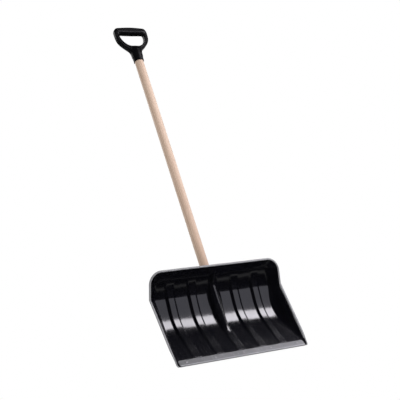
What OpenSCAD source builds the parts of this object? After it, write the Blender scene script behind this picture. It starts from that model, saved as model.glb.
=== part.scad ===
// Snow shovel: moulded scoop blade with a folded metal wear strip, a round
// wooden shaft and a one-piece D-grip.
// Frame: millimetres, X across the blade, +Z along the shaft from the blade to
// the grip, -Y the way the open face of the scoop looks. The origin is the
// middle of the cutting edge, where the flat sole of the wear strip begins.

/* [Blade] */
// Half width of the blade at the side rims, halfway up
rim_half = 247.5; // [225:0.5:260]
// Thickness of the moulded sheet
sheet_t = 3.6; // [3:0.1:4.5]
// Angle between the floor of the scoop and the shaft
floor_angle = 27.5; // [24:0.5:31]
// Forward lean of the back panel
panel_lean = 8; // [5:0.5:11]
// Radius of the bend between floor and back panel
scoop_r = 150; // [110:5:160]
// Height of the crease where the hood starts
crease_z = 245; // [235:1:255]
// Radius of the hood's curl
hood_r = 90; // [84:1:95]
// Lean of the hood where it starts and where it ends at the rim
hood_lean = [12, 75];
// Outward flare of the side walls
wall_flare = 30; // [20:1:36]
// Corner radius of the hood, seen from the front
corner_r = 37; // [30:1:40]
// How far the rim bead stands past the sheet's end
bead_out = 4; // [3:0.5:5]
// How far the rim bead stands proud of the sheet's outer face
bead_back = 2.6; // [1.5:0.1:3.5]

/* [Blade ribs] */
// Distance from one rib to the next
rib_pitch = 81.5; // [76:0.5:82]
// Width of a rib at its foot
rib_base = 35; // [24:1:36]
// Width of a rib's flat crest
rib_crest = 21; // [12:1:22]
// Height of a rib
rib_h = 6; // [3:0.5:7]

/* [Socket] */
// Outer diameter of the shaft socket
socket_d = 38.5; // [38:0.5:42]
// Height of the socket's mouth
socket_top = 300; // [290:1:310]
// Height of the socket's closed end
socket_low = 200; // [196:1:201]
// Height of the lower end of the tapering hump that runs down from the socket
hump_low = 92; // [90:1:96]
// Radius of the hump at its lower end
hump_low_r = 8; // [7:0.5:9]
// Height of the socket's screw
socket_screw_z = 232; // [215:1:245]

/* [Wear strip] */
// Width of each leaf of the strip
strip_w = 24; // [18:1:28]
// Thickness of the strip's sheet
strip_t = 1.2; // [1:0.1:1.5]
// Half length of the strip
strip_half = 236; // [215:1:238]
// Radius of the strip's corners
strip_corner = 7; // [2:0.5:8]

/* [Rivets] */
// Rivets along the strip, and the distance between them
rivet_n = 5; // [3:2:5]
// Distance between rivets
rivet_pitch = 105; // [90:1:108]
// Diameter of a rivet's shank
rivet_d = 4.8; // [4:0.1:5]
// Diameter of a rivet's head
rivet_head_d = 9; // [8:0.5:10]

/* [Shaft] */
// Diameter of the shaft
shaft_d = 32; // [30:0.5:33]
// Distance of the shaft's axis behind the cutting edge
shaft_y = 66; // [64:0.5:68]
// Height of the shaft's lower end
shaft_low = 205; // [205:0.5:208]
// Height of the shaft's upper end, inside the grip's collar
shaft_top = 1203; // [1150:1:1250]

/* [D-grip] */
// Half width of the grip
grip_half = 66.5; // [64:0.5:69]
// Height of the hand bar's axis above the shaft's upper end
bar_rise = 87; // [86:0.5:90]
// Thickness of the hand bar
bar_t = 27; // [24:0.5:28]
// Depth of the grip's arms, front to back
arm_depth = 22; // [20:0.5:24]
// Depth of the recess along each face of the arms
arm_recess = 2.5; // [1:0.5:3.5]
// Length of the shaft that the collar covers
collar_len = 45; // [40:1:50]
// Outer diameter of the collar at its mouth
collar_d = 37.5; // [37:0.1:40]

/* [Screws] */
// Diameter of the screws' shank
screw_d = 4.2; // [3.8:0.1:4.5]
// Diameter of the screws' head
screw_head_d = 9; // [8:0.5:10]
// Height of the screws' head
screw_head_h = 2.8; // [2.2:0.1:3.2]
// Length of the screws under the head
screw_len = 25; // [22:0.5:28]

/* [Hidden] */
$fn = 96;
eps = 0.01;
socket_clear = 0.1;                 // gap between shaft and socket, each side
hole_clear = 0.05;                  // gap round screws and rivets, each side

function lerp(a, b, t) = a + (b - a) * t;
function unit(v) = v / norm(v);
function ramp(t, a, b) = min(1, max(0, (t - a) / (b - a)));

// --- profile of the scoop's inner face, as [y, z] ---------------------------
dir_floor = [sin(floor_angle), cos(floor_angle)];
nor_floor = [-cos(floor_angle), sin(floor_angle)];
dir_panel = [-sin(panel_lean), cos(panel_lean)];
strip_gap = sheet_t + 0.1;           // inside the folded strip
fold_r = strip_gap / 2 + strip_t;     // outer radius of the fold
floor_0 = dir_floor * 1.4 + nor_floor * (strip_t + 0.05 + sheet_t);
crease = [64.3, crease_z];
// where the straight floor and the straight panel would meet
cross_den = dir_floor[0] * dir_panel[1] - dir_floor[1] * dir_panel[0];
knee_s = ((crease[0] - floor_0[0]) * dir_panel[1] - (crease[1] - floor_0[1]) * dir_panel[0]) / cross_den;
knee = floor_0 + dir_floor * knee_s;
bend = floor_angle + panel_lean;
tangent_len = scoop_r * tan(bend / 2);
floor_len = knee_s - tangent_len;
arc_c = floor_0 + dir_floor * floor_len + nor_floor * scoop_r;

// stations along the floor, measured from the front of the sheet
floor_s = [0, 3, 8, 15, 23.4, 28, 42, 60, 80, 100];
arc_n = 8;
hood_n = 10;
hood_flat_n = 4;                    // hood stations before the rounded corner
function arc_pt(k) = let (a = floor_angle - bend * k / arc_n)
    arc_c - scoop_r * [-cos(a), sin(a)];
function hood_pt(k) = let (a = lerp(hood_lean[0], hood_lean[1], k / hood_n))
    crease + hood_r * [cos(a) - cos(hood_lean[0]), sin(a) - sin(hood_lean[0])];
profile = concat(
    [for (s = floor_s) if (s < floor_len - 2) floor_0 + dir_floor * s],
    [for (k = [0:arc_n]) arc_pt(k)],
    [lerp(arc_pt(arc_n), crease, 0.5)],
    [for (k = [0:hood_n]) hood_pt(k)]);
n_row = len(profile);
row_crease = n_row - 1 - hood_n;
// y of the inner face at height z, for the arc and the panel
function back_y(z) = z < arc_pt(arc_n)[1]
    ? arc_c[0] + sqrt(scoop_r * scoop_r - pow(z - arc_c[1], 2))
    : lerp(crease[0], arc_pt(arc_n)[0], (crease_z - z) / (crease_z - arc_pt(arc_n)[1]));

// --- line that the side and top rims follow, as [x, y, z] -------------------
rim_front = [rim_half - 3, floor_0[0], floor_0[1]];
rim_kink = [rim_half, 36.5, crease_z - 6];
rim_top = [rim_half - 6, hood_pt(hood_n)[0], hood_pt(hood_n)[1]];
rim_up = unit(rim_top - rim_kink);
corner_c = rim_top - corner_r * rim_up - [corner_r, 0, 0];
corner_0 = rim_top - corner_r * rim_up;
// the front corners of the blade are rounded off
function front_round(i) = i == 0 ? 4 : i == 1 ? 1.4 : i == 2 ? 0.3 : 0;
function rim_pt(i) = i <= row_crease
    ? lerp(rim_front, rim_kink, (profile[i][1] - floor_0[1]) / (crease_z - floor_0[1])) - [front_round(i), 0, 0]
    : let (k = i - row_crease)
      k <= hood_flat_n ? lerp(rim_kink, corner_0, k / hood_flat_n)
      : let (a = 90 * (k - hood_flat_n) / (hood_n - hood_flat_n))
        corner_c + corner_r * (cos(a) * [1, 0, 0] + sin(a) * rim_up);

// --- the sheet's grid --------------------------------------------------------
wall_n = 4;
function wall_depth(i) = norm([profile[i][0] - rim_pt(i)[1], profile[i][1] - rim_pt(i)[2]]);
function wall_foot(i) = rim_pt(i)[0] - wall_depth(i) * tan(wall_flare);
function flat_half(i) = wall_foot(i) - 0.56 * (4 + 0.09 * profile[i][1]);
// point t of the right wall, from the flat panel (0) to the rim (1)
function wall_pt(i, t) = let (
    e = [flat_half(i), profile[i][0], profile[i][1]],
    m = [wall_foot(i), profile[i][0], profile[i][1]],
    q = rim_pt(i))
    e * (1 - t) * (1 - t) + m * 2 * t * (1 - t) + q * t * t;
rib_x = [rib_pitch, 2 * rib_pitch];
// [offset from centre, share of the rib's height] of each column right of the middle
half_cols = concat([[0, 1], [rib_crest / 2, 1], [rib_base / 2, 0]],
    [for (x = rib_x) each [[x - rib_base / 2, 0], [x - rib_crest / 2, 1], [x + rib_crest / 2, 1], [x + rib_base / 2, 0]]]);
n_flat = len(half_cols);
n_half = n_flat + wall_n + 1;       // columns from the middle to one rim
n_col = 2 * n_half - 1;
// rib height along the profile: low over the floor, full on the panel, running out in the hood
function rib_at(i) = let (s = (profile[i] - floor_0) * dir_floor)
    i > row_crease ? rib_h * max(0, 1 - (i - row_crease) / 4) : s < strip_w ? 0 : rib_h * (0.35 + 0.65 * ramp(s, 30, 105));
function base_pt(i, j) = let (k = j - (n_half - 1), a = abs(k), sg = k < 0 ? -1 : 1,
    p = a < n_flat ? [half_cols[a][0], profile[i][0], profile[i][1]] : wall_pt(i, (a - n_flat) / wall_n))
    [sg * p[0], p[1], p[2]];
function lift_at(i, j) = let (a = abs(j - (n_half - 1))) a < n_flat ? half_cols[a][1] * rib_at(i) : 0;
base = [for (i = [0:n_row - 1]) [for (j = [0:n_col - 1]) base_pt(i, j)]];
// unit normal towards the open side
function nor_at(i, j) = let (
    du = base[i][min(j + 1, n_col - 1)] - base[i][max(j - 1, 0)],
    dv = base[min(i + 1, n_row - 1)][j] - base[max(i - 1, 0)][j])
    unit(cross(du, dv));
nor = [for (i = [0:n_row - 1]) [for (j = [0:n_col - 1]) nor_at(i, j)]];
inner = [for (i = [0:n_row - 1]) for (j = [0:n_col - 1]) base[i][j] + nor[i][j] * lift_at(i, j)];
outer = [for (i = [0:n_row - 1]) for (j = [0:n_col - 1]) base[i][j] + nor[i][j] * (lift_at(i, j) - sheet_t)];

// --- the rim bead, carried along the left side, the top and the right side --
ring = concat(
    [for (i = [0:n_row - 1]) [i, 0]],
    [for (j = [1:n_col - 2]) [n_row - 1, j]],
    [for (i = [n_row - 1:-1:0]) [i, n_col - 1]]);
n_ring = len(ring);
function ring_base(r) = base[ring[r][0]][ring[r][1]];
function ring_dir(r) = unit(ring_base(min(r + 1, n_ring - 1)) - ring_base(max(r - 1, 0)));
function ring_nor(r) = nor[ring[r][0]][ring[r][1]];
function ring_out(r) = unit(cross(ring_nor(r), ring_dir(r)));
function ring_back(r) = lerp(0.4, bead_back, ramp(ring_base(r)[2], 26, 60));
bead_n = 5;
function bead_pts(r) = let (p = ring_base(r), o = ring_out(r), n = ring_nor(r), b = sheet_t + ring_back(r), c = 1)
    [p + o * (bead_out - c), p + o * bead_out - n * c, p + o * bead_out - n * (b - c), p + o * (bead_out - c) - n * b,
     p - n * b];
bead = [for (r = [0:n_ring - 1]) each bead_pts(r)];
n_grid = n_row * n_col;
function vi(i, j) = i * n_col + j;                  // inner face
function vo(i, j) = n_grid + i * n_col + j;         // outer face
function vb(r, k) = k == 0 ? vi(ring[r][0], ring[r][1])
    : k == bead_n + 1 ? vo(ring[r][0], ring[r][1]) : 2 * n_grid + r * bead_n + k - 1;

module scoop_sheet() {
    polyhedron(
        points = concat(inner, outer, bead),
        faces = concat(
            // inner face
            [for (i = [0:n_row - 2]) for (j = [0:n_col - 2]) each
                [[vi(i, j), vi(i + 1, j), vi(i + 1, j + 1)], [vi(i, j), vi(i + 1, j + 1), vi(i, j + 1)]]],
            // outer face
            [for (i = [0:n_row - 2]) for (j = [0:n_col - 2]) each
                [[vo(i, j), vo(i + 1, j + 1), vo(i + 1, j)], [vo(i, j), vo(i, j + 1), vo(i + 1, j + 1)]]],
            // rim bead
            [for (r = [0:n_ring - 2]) for (k = [0:bead_n]) each
                [[vb(r, k), vb(r, k + 1), vb(r + 1, k + 1)], [vb(r, k), vb(r + 1, k + 1), vb(r + 1, k)]]],
            // front edge, from one bead end to the other
            [for (j = [0:n_col - 2]) each [[vi(0, j), vi(0, j + 1), vo(0, j + 1)], [vi(0, j), vo(0, j + 1), vo(0, j)]]],
            [[for (k = [0:bead_n + 1]) vb(0, bead_n + 1 - k)], [for (k = [0:bead_n + 1]) vb(n_ring - 1, k)]]),
        convexity = 8);
}

// x across, s back along the sole, h above it; then X across, Y back, Z up from the sole
module on_sole(x = 0, s = 0, h = 0) {
    translate([x, dir_floor[0] * s + nor_floor[0] * h, dir_floor[1] * s + nor_floor[1] * h])
        rotate([90 - floor_angle, 0, 0]) children();
}
module shaft_axis(z = 0) translate([0, shaft_y, z]) children();
// along +Y from the shaft's axis at height z
module rearward(z, y) translate([0, shaft_y + y, z]) rotate([-90, 0, 0]) children();

grip_screw_z = shaft_top - 24;
socket_face = socket_d / 2 + 2;      // where the screw heads sit, from the axis
collar_face = collar_d / 2 + 1.5;

module rivet_places(h) for (k = [0:rivet_n - 1])
    on_sole((k - (rivet_n - 1) / 2) * rivet_pitch, strip_w * 0.58, h) children();
module rivet_holes() rivet_places(-6) cylinder(h = 24, d = rivet_d + 2 * hole_clear);

// the hump tapers and leans forward from the socket down to the floor of the scoop
hump_high = 212;
hump_high_r = socket_d / 2 - 0.6;
hump_v = [shaft_y - 45.5 - hump_low_r, hump_high - hump_low];
hump_len = norm(hump_v);
hump_wall = 3;
module hump_axis() translate([0, 45.5 + hump_low_r, hump_low]) rotate([-atan2(hump_v[0], hump_v[1]), 0, 0]) children();
function hump_r(h) = lerp(hump_low_r, hump_high_r, h / hump_len);
hollow = [6, 106];                  // where the hump's hollow begins and ends along its axis

module blade() {
    color([0.09, 0.09, 0.1]) difference() {
        union() {
            scoop_sheet();
            // tapering hump, trimmed off inside the sheet
            intersection() {
                hump_axis() cylinder(h = hump_len, r1 = hump_low_r, r2 = hump_high_r);
                translate([-30, 0, 0]) rotate([90, 0, 90]) linear_extrude(60)
                    polygon(concat([for (i = [0:row_crease]) profile[i] + [2.5, 0]], [[0, crease_z], [-20, 0]]));
            }
            // shaft socket
            shaft_axis(socket_low) cylinder(h = socket_top - socket_low, d = socket_d);
            // ridge that carries the socket up into the hood
            ridge_a = hood_pt(3.6) - [-cos(38), -sin(38)] * 4;
            ridge_b = hood_pt(8.4) - [-cos(65), -sin(65)] * 4;
            ridge_v = ridge_b - ridge_a;
            translate([0, ridge_a[0], ridge_a[1]])
                rotate([atan2(-ridge_v[0], ridge_v[1]), 0, 0]) cylinder(h = norm(ridge_v), r1 = 10, r2 = 6);
            // fins from the socket to the back of the panel
            for (z = [208, 246]) for (sx = [-1, 1]) scale([sx, 1, 1])
                translate([0, 0, z - 1.8]) linear_extrude(3.6)
                    polygon([[10, back_y(z) + 1.2], [10, shaft_y + 16.6], [15, shaft_y + 15.4], [58, back_y(z) + 4.4], [58, back_y(z) + 1.2]]);
            // boss under the screw's head
            rearward(socket_screw_z, socket_d / 2 - 3) cylinder(h = 5, r = 7.5);
        }
        // the hump is hollow, open behind
        hump_axis() {
            translate([0, 0, hollow[0]]) cylinder(h = hollow[1] - hollow[0], r1 = hump_r(hollow[0]) - hump_wall, r2 = hump_r(hollow[1]) - hump_wall);
            translate([0, 60, 0]) rotate([90, 0, 0]) linear_extrude(60) polygon([for (e = [[-1, 0], [1, 0], [1, 1], [-1, 1]])
                [e[0] * 0.85 * (hump_r(hollow[e[1]]) - hump_wall), hollow[e[1]] + 0.5 - e[1]]]);
        }
        // blind bore for the shaft
        shaft_axis(shaft_low - 1) cylinder(h = socket_top - shaft_low + 11, d = shaft_d + 2 * socket_clear);
        // screw hole
        rearward(socket_screw_z, 0) cylinder(h = 40, d = screw_d + 0.4);
        rivet_holes();
    }
}

module wear_strip() {
    color([0.72, 0.73, 0.75]) difference() {
        // channel folded over the front edge of the sheet
        on_sole() difference() {
            union() {
                translate([-strip_half, fold_r, 0]) cube([2 * strip_half, strip_w - fold_r, 2 * fold_r]);
                translate([-strip_half, fold_r, fold_r]) rotate([0, 90, 0]) cylinder(h = 2 * strip_half, r = fold_r);
            }
            translate([-strip_half - 1, fold_r, strip_t]) cube([2 * strip_half + 2, strip_w, strip_gap]);
            translate([-strip_half - 1, fold_r, fold_r]) rotate([0, 90, 0]) cylinder(h = 2 * strip_half + 2, r = strip_gap / 2);
            // rounded corners, behind and in front
            for (sx = [-1, 1]) scale([sx, 1, 1]) {
                translate([strip_half - strip_corner, strip_w - strip_corner, -1]) difference() {
                    cube([strip_corner + 1, strip_corner + 1, 2 * fold_r + 2]);
                    cylinder(h = 2 * fold_r + 2, r = strip_corner);
                }
                translate([strip_half - strip_corner, strip_corner, -1]) difference() {
                    translate([0, -strip_corner - 1, 0]) cube([strip_corner + 1, strip_corner + 1, 2 * fold_r + 2]);
                    cylinder(h = 2 * fold_r + 2, r = strip_corner);
                }
            }
        }
        rivet_holes();
    }
}

module strip_rivets() {
    top = 2 * fold_r;
    color([0.78, 0.79, 0.8]) rivet_places(0) rotate_extrude()
        polygon([[0, 0], [rivet_d / 2, 0], [rivet_d / 2, top], [rivet_head_d / 2, top], [rivet_head_d / 2, top + 0.3],
            [rivet_head_d * 0.42, top + 0.75], [rivet_head_d * 0.25, top + 1.1], [0, top + 1.2]]);
}

module shaft() {
    color([0.86, 0.72, 0.58]) difference() {
        shaft_axis() rotate_extrude() polygon([[0, shaft_low], [shaft_d / 2 - 2, shaft_low], [shaft_d / 2, shaft_low + 2],
            [shaft_d / 2, shaft_top - 2], [shaft_d / 2 - 2, shaft_top], [0, shaft_top]]);
        rearward(socket_screw_z, socket_face - screw_len - 0.5) cylinder(h = 40, d = screw_d + 2 * hole_clear);
        rearward(grip_screw_z, collar_face - screw_len - 0.5) cylinder(h = 40, d = screw_d + 2 * hole_clear);
    }
}

function bez(p, t) = p[0] * pow(1 - t, 3) + p[1] * 3 * t * pow(1 - t, 2) + p[2] * 3 * t * t * (1 - t) + p[3] * pow(t, 3);
function bez_pts(p, n) = [for (k = [0:n]) bez(p, k / n)];
function flip(pts) = [for (k = [len(pts) - 1:-1:0]) [-pts[k][0], pts[k][1]]];
// right half of the grip's outline and of its opening, x across, z above the bar's axis
grip_right = concat(
    bez_pts([[16.5, -112], [17, -88], [24, -86], [42, -69.5]], 10),
    bez_pts([[42, -69.5], [58, -55], [grip_half, -40], [grip_half, -10]], 10),
    bez_pts([[grip_half, -10], [grip_half, 5], [60, 12], [50, 12]], 8));
open_right = concat(
    [[0, -67]], bez_pts([[15, -67], [34, -64], [50, -44], [50, -24]], 12),
    [[50, -19], [48.5, -15], [45, -13]]);
recess_right = concat(
    bez_pts([[25, -80], [44, -66], [62, -50], [61.5, -20]], 10),
    bez_pts([[55, -20], [54.5, -43], [40, -62], [22, -73]], 10));

module d_grip() {
    bar_z = shaft_top + bar_rise;
    color([0.1, 0.1, 0.11]) difference() {
        union() {
            // arms and yoke
            translate([0, shaft_y + arm_depth / 2, bar_z]) rotate([90, 0, 0]) linear_extrude(arm_depth) difference() {
                polygon(concat(grip_right, flip(grip_right)));
                polygon(concat(open_right, flip(open_right)));
            }
            // hand bar: a barrel, flattened on four sides
            intersection() {
                translate([-58, shaft_y, bar_z]) rotate([0, 90, 0]) rotate_extrude()
                    polygon(concat([[0, 0]], [for (k = [0:12]) [bar_t * 0.62 - 2 * pow((k - 6) / 6, 2), 116 * k / 12]], [[0, 116]]));
                translate([-60, shaft_y - bar_t / 2, bar_z - bar_t / 2]) cube([120, bar_t, bar_t]);
            }
            // collar round the shaft's end
            shaft_axis(shaft_top - collar_len) rotate_extrude() polygon([[0, 0], [collar_d / 2 - 0.6, 0], [collar_d / 2, 0.6],
                [collar_d / 2 + 1.2, collar_len * 0.7], [collar_d / 2 + 0.6, collar_len + 3], [collar_d / 2 - 4, collar_len + 12], [8, collar_len + 17], [0, collar_len + 17]]);
            // boss under the screw's head
            rearward(grip_screw_z, collar_d / 2 - 3) cylinder(h = 4.5, r = 6);
        }
        shaft_axis(shaft_top - collar_len - 1) cylinder(h = collar_len + 1.5, d = shaft_d + 2 * socket_clear);
        rearward(grip_screw_z, 0) cylinder(h = 40, d = screw_d + 0.4);
        // recess along the front and back of each arm
        for (sx = [-1, 1]) for (y = [-arm_depth / 2 + arm_recess, arm_depth / 2 + 1]) scale([sx, 1, 1])
            translate([0, shaft_y + y, bar_z]) rotate([90, 0, 0]) linear_extrude(arm_recess + 1) polygon(recess_right);
    }
}

module wood_screw() {
    // head up +Z, seat at 0, shank below
    rotate_extrude() polygon([[0, -screw_len], [screw_d / 2, 5 - screw_len], [screw_d / 2, 0], [screw_head_d / 2, 0],
        [screw_head_d / 2, 0.8], [screw_head_d * 0.42, screw_head_h * 0.7], [screw_head_d * 0.28, screw_head_h], [0, screw_head_h]]);
}
module shaft_screws() {
    color([0.75, 0.75, 0.77]) {
        rearward(socket_screw_z, socket_face) wood_cross();
        rearward(grip_screw_z, collar_face) wood_cross();
    }
}
// screw with a cross recess in its head
module wood_cross() difference() {
    wood_screw();
    for (a = [0, 90]) rotate([0, 0, a]) translate([-2.2, -0.5, screw_head_h - 1.4]) cube([4.4, 1, 3]);
}

// from the cutting edge's frame, in which everything above is drawn, to the origin on the sole
origin_back = 3;
module from_sole() translate([0, -origin_back, -origin_back / tan(floor_angle)]) children();

from_sole() blade();
from_sole() wear_strip();
from_sole() strip_rivets();
from_sole() shaft();
from_sole() d_grip();
from_sole() shaft_screws();
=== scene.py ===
import math

import bpy
import numpy as np
from mathutils import Matrix, Vector


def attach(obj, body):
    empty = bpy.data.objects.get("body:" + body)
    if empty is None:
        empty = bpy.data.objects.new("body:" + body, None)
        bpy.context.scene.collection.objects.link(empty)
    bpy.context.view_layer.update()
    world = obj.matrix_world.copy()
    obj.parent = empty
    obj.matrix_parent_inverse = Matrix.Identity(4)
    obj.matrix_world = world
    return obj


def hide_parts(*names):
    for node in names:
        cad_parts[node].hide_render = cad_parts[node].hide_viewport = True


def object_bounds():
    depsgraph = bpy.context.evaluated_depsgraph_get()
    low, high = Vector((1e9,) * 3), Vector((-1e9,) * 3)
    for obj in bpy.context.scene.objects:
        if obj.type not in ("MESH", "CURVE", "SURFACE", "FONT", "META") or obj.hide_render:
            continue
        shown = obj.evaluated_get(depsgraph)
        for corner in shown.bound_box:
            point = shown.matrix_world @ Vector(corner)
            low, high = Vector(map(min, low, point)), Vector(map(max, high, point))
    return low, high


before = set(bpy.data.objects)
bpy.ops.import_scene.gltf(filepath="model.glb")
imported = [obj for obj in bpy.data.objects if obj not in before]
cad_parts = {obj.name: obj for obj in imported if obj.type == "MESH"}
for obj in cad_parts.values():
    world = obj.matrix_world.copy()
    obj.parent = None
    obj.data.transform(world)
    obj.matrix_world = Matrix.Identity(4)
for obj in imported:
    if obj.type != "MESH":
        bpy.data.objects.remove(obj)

LO0, HI0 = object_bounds()
RNG = np.random.default_rng(11)
RAD = math.radians

# The shapes below are drawn in millimetres in the cutting edge's frame, as part.scad draws them,
# then moved to the origin on the sole and turned into metres.
FLOOR_A = RAD(27.5)
PLACE = np.array([0.0, -3.0, -3.0 / math.tan(FLOOR_A)])
AXIS_Y = 66.0


# ---------------------------------------------------------------------------------------------
# mesh helpers
# ---------------------------------------------------------------------------------------------
def make_piece(name, verts, faces, material, node, sharp=None, wear=None):
    """A mesh piece from points in mm and a list of faces, riding on the root body."""
    me = bpy.data.meshes.new(name)
    v = (np.asarray(verts, float) + PLACE) * 0.001
    # waves and dents of a few tenths of a millimetre never pass the CAD's box
    v = np.clip(v, np.array(LO0) + 2e-5, np.array(HI0) - 2e-5)
    me.from_pydata(v.tolist(), [], [list(f) for f in faces])
    me.validate()
    me.polygons.foreach_set("use_smooth", [True] * len(me.polygons))
    if sharp is not None:
        me.set_sharp_from_angle(angle=RAD(sharp))
    # per-point wear, and on the scoop's lip values above 1 for a painted highlight
    if wear is not None:
        a = me.attributes.new("wear", "FLOAT", "POINT")
        a.data.foreach_set("value", np.asarray(wear, np.float32))
    me.materials.append(material)
    me.update()
    ob = bpy.data.objects.new(name, me)
    bpy.context.scene.collection.objects.link(ob)
    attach(ob, "root")
    if node:
        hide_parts(node)
    return ob


def grid_faces(n_i, n_j, offset=0, flip=False, close_j=False):
    """Quads of an n_i by n_j grid of points, counted row by row."""
    i, j = np.meshgrid(np.arange(n_i - 1), np.arange(n_j if close_j else n_j - 1), indexing="ij")
    i, j = i.ravel(), j.ravel()
    k = (j + 1) % n_j
    q = np.stack([i * n_j + j, (i + 1) * n_j + j, (i + 1) * n_j + k, i * n_j + k], 1) + offset
    return (q[:, ::-1] if flip else q).tolist()


def arc(cx, cy, r, a0, a1, n):
    """Points of a round, as (x, y), angles in degrees."""
    return [(cx + r * math.cos(RAD(a)), cy + r * math.sin(RAD(a))) for a in np.linspace(a0, a1, n)]


def lathe(profile, n, to_xyz, wobble=None):
    """Turn (radius, height) points round an axis. First and last radius 0 are closed with a fan."""
    pts, faces = [], []
    prof = list(profile)
    cap0, cap1 = prof[0][0] == 0, prof[-1][0] == 0
    rings = prof[1 if cap0 else 0:len(prof) - (1 if cap1 else 0)]
    ang = np.arange(n) * 2 * math.pi / n
    for r, h in rings:
        for a in ang:
            rr = r + (wobble(a, h) if wobble else 0.0)
            pts.append(to_xyz(rr * math.cos(a), rr * math.sin(a), h))
    faces += grid_faces(len(rings), n, 0, True, True)
    if cap0:
        c = len(pts)
        pts.append(to_xyz(0, 0, prof[0][1]))
        faces += [[c, (j + 1) % n, j] for j in range(n)]
    if cap1:
        c, b = len(pts), (len(rings) - 1) * n
        pts.append(to_xyz(0, 0, prof[-1][1]))
        faces += [[c, b + j, b + (j + 1) % n] for j in range(n)]
    return np.array(pts, float), faces


def smooth_clamp(w, e):
    """w held between 0 and 1, with its two corners rounded over e each side."""
    out = np.clip(w, 0, 1)
    lo = (w > -e) & (w < e)
    hi = (w > 1 - e) & (w < 1 + e)
    out = np.where(lo, (w + e) ** 2 / (4 * e), out)
    return np.where(hi, 1 - (1 + e - w) ** 2 / (4 * e), out)


def smoothstep(x, a, b):
    t = np.clip((x - a) / (b - a), 0, 1)
    return t * t * (3 - 2 * t)


def smin(a, b, k):
    h = np.maximum(k - np.abs(a - b), 0) / k
    return np.minimum(a, b) - h * h * k * 0.25


def smax(a, b, k):
    return -smin(-a, -b, k)


def unit(v):
    return v / np.maximum(np.linalg.norm(v, axis=-1, keepdims=True), 1e-12)


# ---------------------------------------------------------------------------------------------
# materials
# ---------------------------------------------------------------------------------------------
class Mat:
    """A node material: a few short calls to add textures and wire them to the shader."""

    def __init__(self, name):
        self.m = bpy.data.materials.new(name)
        self.m.use_nodes = True
        self.t = self.m.node_tree
        self.t.nodes.clear()
        self.out = self.t.nodes.new("ShaderNodeOutputMaterial")
        self.b = self.t.nodes.new("ShaderNodeBsdfPrincipled")
        self.t.links.new(self.b.outputs[0], self.out.inputs["Surface"])
        self.co = self.t.nodes.new("ShaderNodeTexCoord").outputs["Object"]

    def link(self, a, b):
        self.t.links.new(a, b)

    def scaled(self, s, loc=(0, 0, 0), rot=(0, 0, 0), src=None):
        n = self.t.nodes.new("ShaderNodeMapping")
        n.inputs["Scale"].default_value = s
        n.inputs["Location"].default_value = loc
        n.inputs["Rotation"].default_value = rot
        self.link(src or self.co, n.inputs["Vector"])
        return n.outputs[0]

    def noise(self, scale, detail=3.0, rough=0.55, src=None, distortion=0.0):
        n = self.t.nodes.new("ShaderNodeTexNoise")
        n.inputs["Scale"].default_value = scale
        n.inputs["Detail"].default_value = detail
        n.inputs["Roughness"].default_value = rough
        n.inputs["Distortion"].default_value = distortion
        self.link(src or self.co, n.inputs["Vector"])
        return n.outputs["Fac"]

    def voronoi(self, scale, src=None, feature="F1"):
        n = self.t.nodes.new("ShaderNodeTexVoronoi")
        n.feature = feature
        n.inputs["Scale"].default_value = scale
        self.link(src or self.co, n.inputs["Vector"])
        return n.outputs["Distance"]

    def wave(self, scale, distortion, detail=2.0, dscale=1.0, src=None, direction="X"):
        n = self.t.nodes.new("ShaderNodeTexWave")
        n.wave_type = "BANDS"
        n.bands_direction = direction
        n.inputs["Scale"].default_value = scale
        n.inputs["Distortion"].default_value = distortion
        n.inputs["Detail"].default_value = detail
        n.inputs["Detail Scale"].default_value = dscale
        self.link(src or self.co, n.inputs["Vector"])
        return n.outputs["Fac"]

    def math(self, op, a, b=None, clamp=False):
        n = self.t.nodes.new("ShaderNodeMath")
        n.operation = op
        n.use_clamp = clamp
        for k, v in enumerate((a, b)):
            if v is None:
                continue
            if isinstance(v, (int, float)):
                n.inputs[k].default_value = v
            else:
                self.link(v, n.inputs[k])
        return n.outputs[0]

    def remap(self, x, a, b, c, d):
        n = self.t.nodes.new("ShaderNodeMapRange")
        n.clamp = True
        self.link(x, n.inputs["Value"])
        for k, v in (("From Min", a), ("From Max", b), ("To Min", c), ("To Max", d)):
            n.inputs[k].default_value = v
        return n.outputs[0]

    def ramp(self, x, stops):
        n = self.t.nodes.new("ShaderNodeValToRGB")
        e = n.color_ramp.elements
        while len(e) < len(stops):
            e.new(0.5)
        for k, (pos, col) in enumerate(stops):
            e[k].position = pos
            e[k].color = (*col, 1.0)
        self.link(x, n.inputs["Fac"])
        return n.outputs["Color"]

    def mix(self, fac, a, b):
        n = self.t.nodes.new("ShaderNodeMix")
        n.data_type = "RGBA"
        for key, v in ((0, fac), (6, a), (7, b)):
            if isinstance(v, tuple):
                n.inputs[key].default_value = (*v, 1.0)
            elif isinstance(v, (int, float)):
                n.inputs[key].default_value = v
            else:
                self.link(v, n.inputs[key])
        return n.outputs[2]

    def axis(self, k):
        n = self.t.nodes.new("ShaderNodeSeparateXYZ")
        self.link(self.co, n.inputs[0])
        return n.outputs[k]

    def attribute(self, name):
        n = self.t.nodes.new("ShaderNodeAttribute")
        n.attribute_name = name
        return n.outputs["Fac"]

    def bump(self, height, distance, strength=1.0, under=None):
        n = self.t.nodes.new("ShaderNodeBump")
        n.inputs["Strength"].default_value = strength
        n.inputs["Distance"].default_value = distance
        self.link(height, n.inputs["Height"])
        if under is not None:
            self.link(under, n.inputs["Normal"])
        return n.outputs[0]

    def set(self, **kw):
        for k, v in kw.items():
            s = self.b.inputs[k.replace("_", " ")]
            if isinstance(v, (int, float, tuple)):
                s.default_value = v
            else:
                self.link(v, s)
        return self.m


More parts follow.
